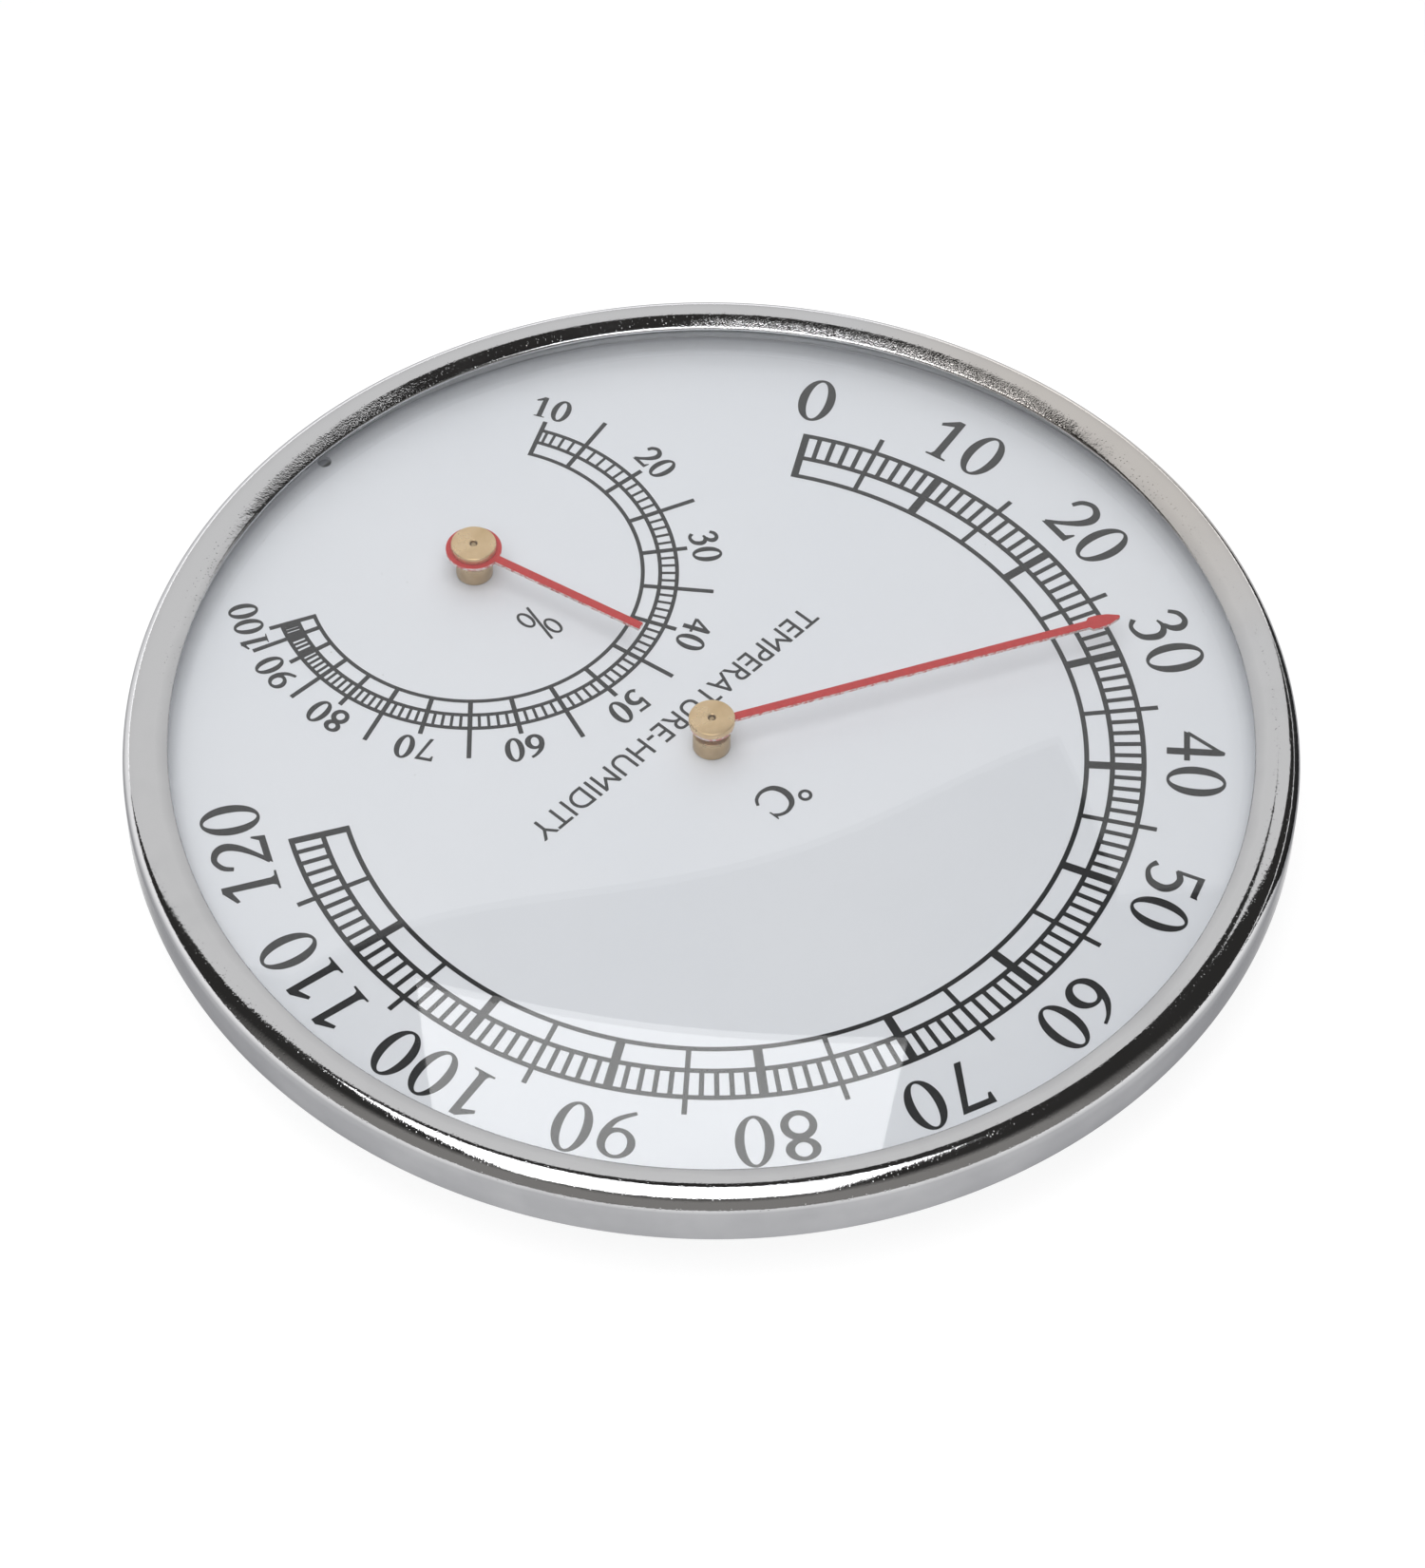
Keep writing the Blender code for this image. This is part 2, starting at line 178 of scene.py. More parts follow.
def lathe(name, profile, steps, closed=True, centre_y=0.0):
    """A turned piece from an (r, z) profile; its origin is on its own axis."""
    shape = bmesh.new()
    rings = []
    for r, z in profile:
        if r == 0:
            rings.append([shape.verts.new((0, 0, z * MM))] * steps)
            continue
        turns = [2 * math.pi * k / steps for k in range(steps)]
        spots = [(r * math.cos(a) * MM, r * math.sin(a) * MM, z * MM) for a in turns]
        rings.append([shape.verts.new(spot) for spot in spots])
    pairs = list(zip(rings, rings[1:]))
    if closed:
        pairs.append((rings[-1], rings[0]))
    for first, second in pairs:
        join_rings(shape, first, second)
    bmesh.ops.recalc_face_normals(shape, faces=shape.faces)
    return new_object(name, shape, (0, centre_y * MM, 0))


def join_rings(shape, first, second):
    """A band of faces between two rings of vertices; a ring may be one vertex, repeated."""
    count = len(first)
    for k in range(count):
        n = (k + 1) % count
        corners = [first[k], first[n], second[n], second[k]]
        shape.faces.new(list(dict.fromkeys(corners)))


def level_verts(shape, points, z):
    return [shape.verts.new((x * MM, y * MM, z * MM)) for x, y in points]


def new_object(name, shape, place=(0, 0, 0)):
    """A linked object from a bmesh, which is freed; it is smooth but for edges over 35 degrees."""
    mesh = bpy.data.meshes.new(name)
    shape.to_mesh(mesh)
    shape.free()
    mesh.shade_smooth()
    mesh.set_sharp_from_angle(angle=math.radians(35))
    obj = bpy.data.objects.new(name, mesh)
    obj.location = place
    bpy.context.scene.collection.objects.link(obj)
    return obj


def union(cells):
    """One flat triangulated shape, as points and faces, from convex cells that may overlap."""
    points = []
    faces = []
    for cell in cells:
        faces.append(list(range(len(points), len(points) + len(cell))))
        points += [Vector(point) for point in cell]
    verts, _, tris, _, _, sources = delaunay_2d_cdt(points, [], faces, 1, 0.00001)
    kept = [tri for tri, source in zip(tris, sources) if source]
    return [tuple(vert) for vert in verts], kept


def filled(outlines):
    """A flat triangulated shape inside the first outline and outside the others."""
    points = []
    edges = []
    for outline in outlines:
        start = len(points)
        count = len(outline)
        edges += [(start + k, start + (k + 1) % count) for k in range(count)]
        points += [Vector(point) for point in outline]
    verts, _, tris, _, _, _ = delaunay_2d_cdt(points, edges, [], 1, 0.00001)
    holes = outlines[1:]
    kept = []
    for tri in tris:
        middle = sum((verts[i] for i in tri), Vector((0, 0))) / len(tri)
        if not any(inside(middle, hole) for hole in holes):
            kept.append(tri)
    return [tuple(vert) for vert in verts], kept


def inside(point, outline):
    """Whether a point lies in an outline, counted by the edges to its right."""
    crossings = 0
    for (x0, y0), (x1, y1) in zip(outline, outline[1:] + outline[:1]):
        if (y0 > point.y) != (y1 > point.y):
            if point.x < x0 + (point.y - y0) * (x1 - x0) / (y1 - y0):
                crossings += 1
    return crossings % 2 == 1


def plate(name, shapes, low_z, high_z, centre_y=0.0):
    """A closed plate from flat shapes that don't touch each other."""
    shape = bmesh.new()
    for points, faces in shapes:
        used = sorted({i for face in faces for i in face})
        top = {i: shape.verts.new((points[i][0] * MM, points[i][1] * MM, high_z * MM)) for i in used}
        foot = {i: shape.verts.new((points[i][0] * MM, points[i][1] * MM, low_z * MM)) for i in used}
        edges = {(face[k - 1], face[k]) for face in faces for k in range(len(face))}
        for face in faces:
            shape.faces.new([top[i] for i in face])
            shape.faces.new([foot[i] for i in reversed(face)])
        for a, b in sorted(edges):
            if (b, a) not in edges:
                shape.faces.new([foot[a], foot[b], top[b], top[a]])
    return new_object(name, shape, (0, centre_y * MM, 0))


def clock(angle, radius, centre_y=0.0):
    turn = math.radians(angle)
    return (radius * math.sin(turn), centre_y + radius * math.cos(turn))


# ---------------------------------------------------------------- printing: strokes and cells


def between(p, q, r, s, t):
    """Catmull-Rom value at a share t of the way from q to r, with neighbours p and s."""
    return 0.5 * (2 * q + (r - p) * t + (2 * p - 5 * q + 4 * r - s) * t**2
                  + (3 * q - p - 3 * r + s) * t**3)


def smooth_path(points, steps):
    """Catmull-Rom curve through points of any dimension, ends included."""
    if len(points) < 3:
        return points
    path = []
    last = len(points) - 1
    for i in range(last):
        a, b = points[max(i - 1, 0)], points[i]
        c, d = points[i + 1], points[min(i + 2, last)]
        for k in range(steps):
            t = k / steps
            path.append(tuple(between(*values, t) for values in zip(a, b, c, d)))
    return path + [points[last]]


def stroke(*points):
    """Cells of a pen stroke through (x, y, width) points, six between each two."""
    path = smooth_path(points, 6)
    sides = []
    for i, (x, y, width) in enumerate(path):
        before, after = path[max(i - 1, 0)], path[min(i + 1, len(path) - 1)]
        along = Vector((after[0] - before[0], after[1] - before[1])).normalized()
        across = Vector((-along.y, along.x)) * width / 2
        sides.append(((x + across.x, y + across.y), (x - across.x, y - across.y)))
    return cells_between(sides)


def cells_between(sides):
    """Quads between successive (left, right) pairs, wound anticlockwise."""
    cells = []
    for (left, right), (next_left, next_right) in zip(sides, sides[1:]):
        cells.append(anticlockwise([right, next_right, next_left, left]))
    return cells


def anticlockwise(cell):
    turned = sum(a[0] * b[1] - b[0] * a[1] for a, b in zip(cell, cell[1:] + cell[:1]))
    return cell if turned > 0 else cell[::-1]


def oval(centre, outer, inner, inner_centre=None, lean=0.0, count=40):
    """Cells of an oval ring between an outer and an inner ellipse, leaning right by lean."""
    hole = inner_centre or centre
    sides = []
    for k in range(count + 1):
        turn = math.radians(360 * k / count)
        c, s = math.cos(turn), math.sin(turn)
        far = (centre[0] + outer[0] * c + lean * outer[1] * s, centre[1] + outer[1] * s)
        near = (hole[0] + inner[0] * c + lean * inner[1] * s, hole[1] + inner[1] * s)
        sides.append((near, far))
    return cells_between(sides)


def digit_cells(bold):
    """Book numerals in a cell 0.75 wide and 1 high; bold is added to the width of every line."""

    def pen(*points):
        return stroke(*[(x, y, width + bold) for x, y, width in points])

    def loop(centre, outer, inner, inner_centre=None, lean=0.0):
        wide = [size + bold / 2 for size in outer]
        narrow = [size - bold / 2 for size in inner]
        return oval(centre, wide, narrow, inner_centre, lean)

    return {
        "0": loop((0.383, 0.496), (0.321, 0.512), (0.170, 0.467), lean=0.05),
        "1": pen((0.415, 0, 0.14), (0.415, 0.985, 0.125))
        + [anticlockwise([(0.37, 0.99), (0.10, 0.79), (0.12, 0.73), (0.39, 0.84)])]
        + [anticlockwise([(0.22, 0), (0.62, 0), (0.62, 0.035), (0.52, 0.05), (0.49, 0.11),
                          (0.34, 0.11), (0.31, 0.05), (0.22, 0.035)])],
        "2": pen(
            (0.080, 0.675, 0.075), (0.150, 0.850, 0.090), (0.330, 0.955, 0.092),
            (0.510, 0.885, 0.125), (0.578, 0.720, 0.150), (0.500, 0.500, 0.125),
            (0.300, 0.250, 0.080), (0.085, 0.040, 0.070),
        )
        + [[(0.045, 0), (0.655, 0), (0.645, 0.12), (0.15, 0.12)]]
        + [[(0.56, 0.10), (0.655, 0), (0.685, 0.24), (0.655, 0.25)]],
        "3": pen(
            (0.085, 0.735, 0.070), (0.175, 0.890, 0.085), (0.340, 0.955, 0.088),
            (0.460, 0.900, 0.115), (0.500, 0.790, 0.135), (0.460, 0.660, 0.105),
            (0.350, 0.560, 0.060),
        )
        + pen(
            (0.230, 0.480, 0.030), (0.370, 0.540, 0.075), (0.520, 0.490, 0.120),
            (0.584, 0.355, 0.137), (0.530, 0.130, 0.115), (0.380, 0.015, 0.080),
            (0.230, -0.003, 0.070), (0.105, 0.085, 0.095),
        ),
        "4": pen((0.476, -0.015, 0.135), (0.480, 0.80, 0.130), (0.500, 0.99, 0.060))
        + pen((0.505, 0.970, 0.060), (0.055, 0.345, 0.060))
        + [[(0.020, 0.280), (0.677, 0.285), (0.677, 0.387), (0.070, 0.387)]],
        "5": [[(0.130, 0.845), (0.590, 0.850), (0.605, 0.990), (0.560, 0.962), (0.130, 0.960)]]
        + pen((0.162, 0.950, 0.064), (0.160, 0.460, 0.060))
        + pen(
            (0.140, 0.480, 0.085), (0.320, 0.570, 0.110), (0.500, 0.505, 0.132),
            (0.586, 0.345, 0.152), (0.525, 0.120, 0.120), (0.350, 0.005, 0.078),
            (0.210, 0.010, 0.072), (0.105, 0.090, 0.105),
        ),
        "6": loop((0.381, 0.284), (0.315, 0.310), (0.166, 0.236), (0.369, 0.291))
        + pen(
            (0.612, 0.953, 0.052), (0.430, 0.860, 0.064), (0.240, 0.670, 0.105),
            (0.150, 0.450, 0.135), (0.134, 0.290, 0.136),
        ),
        "7": [[(0.050, 0.830), (0.620, 0.830), (0.667, 0.950), (0.042, 0.950)]]
        + [[(0.045, 0.723), (0.100, 0.723), (0.145, 0.840), (0.042, 0.900)]]
        + [[(0.203, -0.035), (0.330, -0.035), (0.667, 0.950), (0.520, 0.850)]],
        "8": loop((0.358, 0.735), (0.288, 0.228), (0.148, 0.150), (0.352, 0.742))
        + loop((0.377, 0.252), (0.300, 0.295), (0.174, 0.186), (0.372, 0.236)),
        "9": loop((0.354, 0.645), (0.314, 0.302), (0.182, 0.236), (0.350, 0.655))
        + pen(
            (0.600, 0.650, 0.136), (0.580, 0.440, 0.120), (0.440, 0.180, 0.085),
            (0.155, -0.008, 0.058),
        ),
    }


def numerals(label, angle, radius, height, centre_y, glyphs, nudge=0.0):
    """Upright numerals whose middle is at a clock angle and radius, their tops outward."""
    out = Vector(clock(angle, 1))
    along = Vector((out.y, -out.x))
    middle = Vector((0, centre_y)) + out * radius
    shapes = []
    for i, letter in enumerate(label):
        points, faces = glyphs[letter]
        start = (i - len(label) / 2) * DIGIT_W * height + nudge
        spots = [middle + along * (start + x * height) + out * (y - 0.5) * height for x, y in points]
        shapes.append(([tuple(spot) for spot in spots], faces))
    return shapes


def ring_cells(radius, width, start, end, centre_y):
    """Cells of a printed arc line, one a degree."""
    count = max(2, round(end - start))
    angles = [start + (end - start) * k / count for k in range(count + 1)]
    inner, outer = radius - width / 2, radius + width / 2
    return cells_between([(clock(a, inner, centre_y), clock(a, outer, centre_y)) for a in angles])


def tick_cell(angle, inner, outer, width, centre_y):
    """A straight radial mark."""
    out = Vector(clock(angle, 1))
    side = Vector((out.y, -out.x)) * width / 2
    middle = Vector((0, centre_y))
    low, high = middle + out * inner, middle + out * outer
    return anticlockwise([tuple(p) for p in (low - side, low + side, high + side, high - side)])


def thermo_angle(degrees_c):
    return (degrees_c - 60) * 2


def thermo_scale_cells():
    """0 to 120 degrees C: a minor band outside, a major band inside, stubs at the odd fives."""
    outer, middle, inner = THERMO_RINGS
    line = THERMO_LINE
    low, high = thermo_angle(0), thermo_angle(120)
    cells = []
    for radius, width in ((outer, line), (middle, line), (inner, THERMO_MINOR)):
        cells += ring_cells(radius, width, low, high, 0)
    for value in range(1, 120):
        angle = thermo_angle(value)
        if value % 10 == 0:
            cells.append(tick_cell(angle, inner, outer, THERMO_MAJOR, 0))
        elif value % 5 == 0:
            cells.append(tick_cell(angle, inner, outer + 2.2, line, 0))
        else:
            cells.append(tick_cell(angle, middle, outer, THERMO_MINOR, 0))
    for angle in (low, high):
        cells.append(tick_cell(angle, inner - 0.25, outer + line / 2, 0.82, 0))
    return cells


def hygro_angle(percent):
    """Clock angle of a humidity; the scale closes up towards its end, so it isn't even."""
    knots = [(angle,) for angle in HYGRO_TENS]
    steps = 10
    return smooth_path(knots, steps)[round((percent - 10) * steps / 10)][0]


def hygro_scale_cells():
    """10 to 100 %: five divisions in each five, long stubs at the odd fives."""
    outer, middle, inner = HYGRO_RINGS
    line = HYGRO_LINE
    low, high = hygro_angle(10), hygro_angle(100)
    cells = []
    for radius in HYGRO_RINGS:
        cells += ring_cells(radius, line, low, high, HYGRO_Y)
    for value in range(10, 101):
        angle = hygro_angle(value)
        if value % 10 == 0:
            cells.append(tick_cell(angle, inner - line / 2, outer, HYGRO_MAJOR, HYGRO_Y))
            cells.append(tick_cell(angle, outer, outer + 1.4, 0.52, HYGRO_Y))
        elif value % 5 == 0:
            cells.append(tick_cell(angle, inner, outer, HYGRO_MAJOR, HYGRO_Y))
            cells.append(tick_cell(angle, outer, outer + 4.2, 0.51, HYGRO_Y))
        else:
            cells.append(tick_cell(angle, middle, outer, HYGRO_MINOR, HYGRO_Y))
    for value in (90, 94, 95, 99):
        start, end = hygro_angle(value), hygro_angle(value + 1)
        across = (start, (start + end) / 2, end)
        cells += cells_between([(clock(a, middle, HYGRO_Y), clock(a, outer, HYGRO_Y)) for a in across])
    return cells


def unit_sign_cells():
    """Degree sign and serif C above the main hub, and a thin percent sign above the small one."""
    degree = oval((-1.99, 11.98), (0.78, 0.78), (0.42, 0.42), count=28)
    letter_c = stroke(
        (2.58, 9.30, 0.34), (2.05, 8.60, 0.38), (1.00, 8.28, 0.42), (-0.15, 8.66, 0.60),
        (-0.72, 9.60, 0.74), (-0.72, 10.75, 0.74), (-0.20, 11.66, 0.60), (0.85, 12.08, 0.42),
        (1.75, 11.90, 0.38), (2.30, 11.45, 0.38),
    )
    serif = [anticlockwise([(2.18, 11.75), (2.30, 10.85), (2.46, 10.85), (2.44, 12.15), (2.30, 12.15)])]
    bar = stroke((-0.31, -28.35, 0.31), (0.99, -23.18, 0.31))
    middles = ((1.10, -27.10), (-0.42, -24.43))
    loops = [oval(middle, (0.78, 1.28), (0.44, 0.98), count=28) for middle in middles]
    return [degree, letter_c + serif, bar] + loops


def word_line():
    """The line of words across the dial, as one flat shape."""
    text = bpy.data.curves.new("words", "FONT")
    text.body = "TEMPERATURE-HUMIDITY"
    text.resolution_u = 8
    holder = bpy.data.objects.new("words", text)
    bpy.context.scene.collection.objects.link(holder)
    bpy.context.view_layer.update()
    graph = bpy.context.evaluated_depsgraph_get()
    mesh = bpy.data.meshes.new_from_object(holder.evaluated_get(graph))
    bpy.data.objects.remove(holder, do_unlink=True)
    shape = bmesh.new()
    shape.from_mesh(mesh)
    bpy.data.meshes.remove(mesh)
    bmesh.ops.remove_doubles(shape, verts=shape.verts, dist=0.00001)
    xs = [vert.co.x for vert in shape.verts]
    ys = [vert.co.y for vert in shape.verts]
    left, right = -21.5, 21.9
    foot, top = -6.5, -3.8
    points = [
        (
            left + (vert.co.x - min(xs)) / (max(xs) - min(xs)) * (right - left),
            foot + (vert.co.y - min(ys)) / (max(ys) - min(ys)) * (top - foot),
        )
        for vert in shape.verts
    ]
    shape.verts.index_update()
    faces = [[vert.index for vert in face.verts] for face in shape.faces]
    if shape.faces[:][0].normal.z < 0:
        faces = [face[::-1] for face in faces]
    shape.free()
    return points, faces


# ---------------------------------------------------------------- materials


def node(tree, kind, sockets=None, **settings):
    """Adds a shader node; a socket takes a constant, or a link when it is given an output."""
    made = tree.nodes.new("ShaderNode" + kind)
    for name, value in settings.items():
        setattr(made, name, value)
    for name, value in (sockets or {}).items():
        if isinstance(value, bpy.types.NodeSocket):
            tree.links.new(value, made.inputs[name])
        else:
            made.inputs[name].default_value = value
    return made


class Finish:
    """A material on a Principled shader, with the few node patterns that the finishes share."""

    def __init__(self, name, color, roughness, metallic=0.0):
        self.material = bpy.data.materials.new(name)
        self.material.use_nodes = True
        self.tree = self.material.node_tree
        self.shader = self.tree.nodes["Principled BSDF"]
        self.set("Base Color", (*color, 1))
        self.set("Roughness", roughness)
        self.set("Metallic", metallic)
        self.normal = None

    def set(self, socket, value):
        self.shader.inputs[socket].default_value = value

    def add(self, kind, sockets=None, **settings):
        return node(self.tree, kind, sockets, **settings)

    def place(self, stretch=(1, 1, 1)):
        """Object coordinates, stretched."""
        coords = self.add("TexCoord").outputs["Object"]
        return self.add("Mapping", {"Vector": coords, "Scale": stretch}).outputs["Vector"]

    def math(self, operation, *values):
        return self.add("Math", dict(enumerate(values)), operation=operation).outputs["Value"]

    def radius(self):
        """Distance from the piece's own axis."""
        flat = self.place((1, 1, 0))
        return self.add("VectorMath", {0: flat}, operation="LENGTH").outputs["Value"]

    def height(self):
        return self.add("SeparateXYZ", {0: self.place()}).outputs["Z"]

    def rings(self):
        """Coordinates that don't vary round the piece's axis, for turned marks."""
        return self.add("CombineXYZ", {"X": self.radius(), "Y": self.height()}).outputs["Vector"]

    def noise(self, scale, detail=2.0, vector=None):
        sockets = {"Vector": vector or self.place(), "Scale": scale, "Detail": detail}
        return self.add("TexNoise", sockets).outputs["Fac"]

    def cells(self, scale):
        sockets = {"Vector": self.place(), "Scale": scale}
        return self.add("TexVoronoi", sockets).outputs["Distance"]

    def fit(self, value, old, new):
        """Maps a value from an old range onto a new one, held at the new one's ends."""
        names = ("From Min", "From Max", "To Min", "To Max")
        sockets = {"Value": value, **dict(zip(names, old + new))}
        return self.add("MapRange", sockets).outputs["Result"]

    def ramp(self, value, *stops):
        """Colours at positions along a value."""
        made = self.add("ValToRGB", {"Fac": value})
        elements = made.color_ramp.elements
        while len(elements) < len(stops):
            elements.new(0.5)
        for element, (position, color) in zip(elements, stops):
            element.position = position
            element.color = (*color, 1)
        return made.outputs["Color"]

    def tint(self, value, *stops):
        self.drive("Base Color", self.ramp(value, *stops))

    def mix(self, share, first, second, blend="MIX"):
        """A colour that passes into another, or is multiplied by it, as the share grows."""
        made = self.add("Mix", data_type="RGBA", blend_type=blend)
        share_in, first_in, second_in, color_out = 0, 6, 7, 2  # the node's sockets for colours
        for index, value in ((share_in, share), (first_in, first), (second_in, second)):
            if isinstance(value, bpy.types.NodeSocket):
                self.tree.links.new(value, made.inputs[index])
            else:
                made.inputs[index].default_value = (*value, 1)
        return made.outputs[color_out]

    def toward(self, turn, full, none):
        """1 within an angle of a direction from the axis, falling to 0 at another, in radians."""
        flat = self.place((1, 1, 0))
        spoke = self.add("VectorMath", {0: flat}, operation="NORMALIZE").outputs["Vector"]
        middle = {0: spoke, 1: (math.cos(turn), math.sin(turn), 0)}
        nearness = self.add("VectorMath", middle, operation="DOT_PRODUCT").outputs["Value"]
        return self.fit(nearness, (math.cos(none), math.cos(full)), (0.0, 1.0))

    def drive(self, socket, output):
        self.tree.links.new(output, self.shader.inputs[socket])

    def bump(self, height, depth):
        """Adds relief of a depth in millimetres on top of what is there."""
        sockets = {"Height": height, "Distance": depth * MM}
        if self.normal is not None:
            sockets["Normal"] = self.normal
        self.normal = self.add("Bump", sockets).outputs["Normal"]
        self.drive("Normal", self.normal)


def chrome():
    """Bright plating with painted shade, greyer on the skirt and darker towards the lip, and a faint
    warm tint over one stretch: orange peel, pits, dull patches, two gritty stretches.
    """
    finish = Finish("chrome", (0.70, 0.70, 0.70), 0.06, 1.0)
    finish.set("Specular Tint", (0.48, 0.48, 0.49, 1))
    patches = finish.noise(120.0, 3.0)
    finish.drive("Roughness", finish.fit(patches, (0.3, 0.75), (0.045, 0.11)))
    # Painted shade: the plating's colour darkens below the crest, over the shoulder's outer side and the
    # skirt.
    painted_skirt_shade = finish.fit(finish.height(), (12.9 * MM, 13.5 * MM), (0.0, 0.8))
    cloudy = finish.fit(patches, (0.3, 0.8), (0.1, -0.1))
    radius = finish.radius()
    # Painted shade: the plating's colour darkens towards the lip's inner edge.
    lip = finish.fit(radius, (58.6 * MM, 59.9 * MM), (-0.28, 0.0))
    level = finish.math("ADD", painted_skirt_shade, finish.math("ADD", cloudy, lip))
    tone = finish.ramp(level, (0.0, (0.385, 0.388, 0.40)), (0.8, (0.72, 0.72, 0.73)))
    # A faint warm tint over one stretch of the rim.
    warm_tint = finish.toward(WARM_TINT_TURN, 0.20, 0.55)
    finish.drive("Base Color", finish.mix(warm_tint, tone, (1.0, 0.95, 0.89), "MULTIPLY"))
    finish.bump(finish.noise(700.0, 1.0), 0.012)
    finish.bump(finish.noise(3200.0, 2.0), 0.006)
    pits = finish.fit(finish.cells(2600.0), (0.0, 0.25), (0.0, 1.0))
    finish.bump(pits, 0.008)
    longer = finish.toward(PITTED_TURN, 0.32, 0.44)
    shorter = finish.toward(WORN_TURN, 0.08, 0.26)
    stretch = finish.math("MAXIMUM", longer, shorter)
    inner = finish.fit(radius, (60.1 * MM, 59.4 * MM), (0.0, 1.0))
    where = finish.math("MULTIPLY", stretch, inner)
    grit = finish.noise(5200.0, 1.0)
    rough = finish.math("MULTIPLY", grit, where)
    finish.bump(rough, 0.036)
    return finish.material


def brass(name, turned, bright=(0.78, 0.57, 0.335), dull=(0.64, 0.44, 0.22)):
    """Brass with fine concentric tool marks where it is turned, and a little tarnish."""
    finish = Finish(name, bright, 0.3, 0.7)
    tarnish = finish.noise(500.0, 3.0)
    finish.tint(tarnish, (0.35, bright), (0.75, dull))
    finish.drive("Roughness", finish.fit(tarnish, (0.3, 0.7), (0.24, 0.38)))
    marks = finish.rings() if turned else finish.place((1, 12, 1))
    finish.bump(finish.noise(9000.0 if turned else 1500.0, 2.0, marks), 0.006)
    return finish.material


def steel():
    """Plain drawn steel with fine lengthwise marks."""
    finish = Finish("steel", (0.55, 0.55, 0.56), 0.3, 1.0)
    marks = finish.noise(1200.0, 3.0, finish.place((1, 9, 9)))
    finish.tint(marks, (0.3, (0.60, 0.60, 0.61)), (0.8, (0.46, 0.46, 0.47)))
    finish.drive("Roughness", finish.fit(marks, (0.3, 0.7), (0.24, 0.40)))
    finish.bump(marks, 0.004)
    return finish.material


def arbor_steel():
    """Ground steel, tempered to a straw colour."""
    finish = Finish("arbor_steel", (0.50, 0.38, 0.22), 0.3, 1.0)
    temper = finish.noise(2200.0, 2.0)
    finish.tint(temper, (0.3, (0.56, 0.43, 0.26)), (0.8, (0.40, 0.28, 0.15)))
    finish.bump(finish.noise(9000.0, 2.0, finish.rings()), 0.003)
    return finish.material


def pressed_steel():
    """Plated pressed sheet: faint rolling marks, cloudy sheen and small handling scratches."""
    finish = Finish("pressed_steel", (0.62, 0.63, 0.65), 0.34, 1.0)
    clouds = finish.noise(45.0, 4.0)
    rolled = finish.noise(900.0, 3.0, finish.place((1, 0.05, 1)))
    finish.tint(clouds, (0.3, (0.66, 0.67, 0.69)), (0.8, (0.55, 0.56, 0.58)))
    finish.drive("Roughness", finish.fit(rolled, (0.3, 0.7), (0.26, 0.42)))
    finish.bump(rolled, 0.003)
    finish.bump(finish.noise(260.0, 2.0), 0.01)
    return finish.material


def enamel():
    """White sheet finish: slight warm and cool drift, fine grain and a few specks of dust."""
    finish = Finish("white_enamel", (0.755, 0.765, 0.797), 0.45)
    drift = finish.noise(35.0, 3.0)
    tone = finish.ramp(drift, (0.3, (0.745, 0.757, 0.792)), (0.75, (0.765, 0.773, 0.803)))
    speck = finish.fit(finish.cells(330.0), (0.018, 0.03), (0.0, 1.0))
    keep = finish.fit(finish.noise(60.0, 0.0), (0.60, 0.62), (1.0, 0.0))
    clean = finish.math("MAXIMUM", speck, keep)
    finish.drive("Base Color", finish.mix(clean, (0.42, 0.42, 0.41), tone))
    finish.drive("Roughness", finish.fit(drift, (0.3, 0.7), (0.40, 0.50)))
    finish.bump(finish.noise(5000.0, 2.0), 0.0015)
    return finish.material


def ink():
    """Black printing ink, a little uneven."""
    finish = Finish("ink", (0.012, 0.012, 0.013), 0.5)
    density = finish.noise(1800.0, 3.0)
    finish.tint(density, (0.3, (0.010, 0.010, 0.011)), (0.8, (0.020, 0.020, 0.022)))
    finish.drive("Roughness", finish.fit(density, (0.3, 0.7), (0.45, 0.58)))
    finish.bump(density, 0.002)
    return finish.material


def lacquer():
    """Red lacquer on the hands, with fine grain and small flecks."""
    finish = Finish("red_lacquer", (0.55, 0.045, 0.045), 0.45)
    finish.set("Specular IOR Level", 0.25)
    grain = finish.noise(1500.0, 3.0)
    finish.tint(grain, (0.3, (0.53, 0.030, 0.030)), (0.75, (0.45, 0.024, 0.024)))
    finish.drive("Roughness", finish.fit(grain, (0.3, 0.7), (0.40, 0.52)))
    finish.bump(grain, 0.004)
    return finish.material


def bare_edge():
    """Cut edges of the hands: pale metal with a trace of lacquer."""
    finish = Finish("bare_edge", (0.75, 0.62, 0.60), 0.35, 0.6)
    trace = finish.noise(2500.0, 2.0)
    finish.tint(trace, (0.45, (0.80, 0.70, 0.68)), (0.62, (0.62, 0.16, 0.14)))
    finish.bump(trace, 0.003)
    return finish.material


def spacer_plastic():
    """Moulded light grey plastic."""
    finish = Finish("spacer_plastic", (0.60, 0.61, 0.62), 0.5)
    grain = finish.noise(900.0, 3.0)
    finish.tint(grain, (0.3, (0.62, 0.63, 0.64)), (0.8, (0.56, 0.57, 0.58)))
    finish.bump(grain, 0.005)
    return finish.material


def bimetal():
    """Rolled strip: streaks along its length, with a warm tint here and there."""
    finish = Finish("bimetal", (0.50, 0.46, 0.40), 0.35, 1.0)
    streaks = finish.noise(700.0, 3.0, finish.place((1, 1, 9)))
    finish.tint(streaks, (0.35, (0.56, 0.53, 0.48)), (0.7, (0.46, 0.38, 0.28)))
    finish.drive("Roughness", finish.fit(streaks, (0.3, 0.7), (0.28, 0.45)))
    finish.bump(streaks, 0.004)
    return finish.material


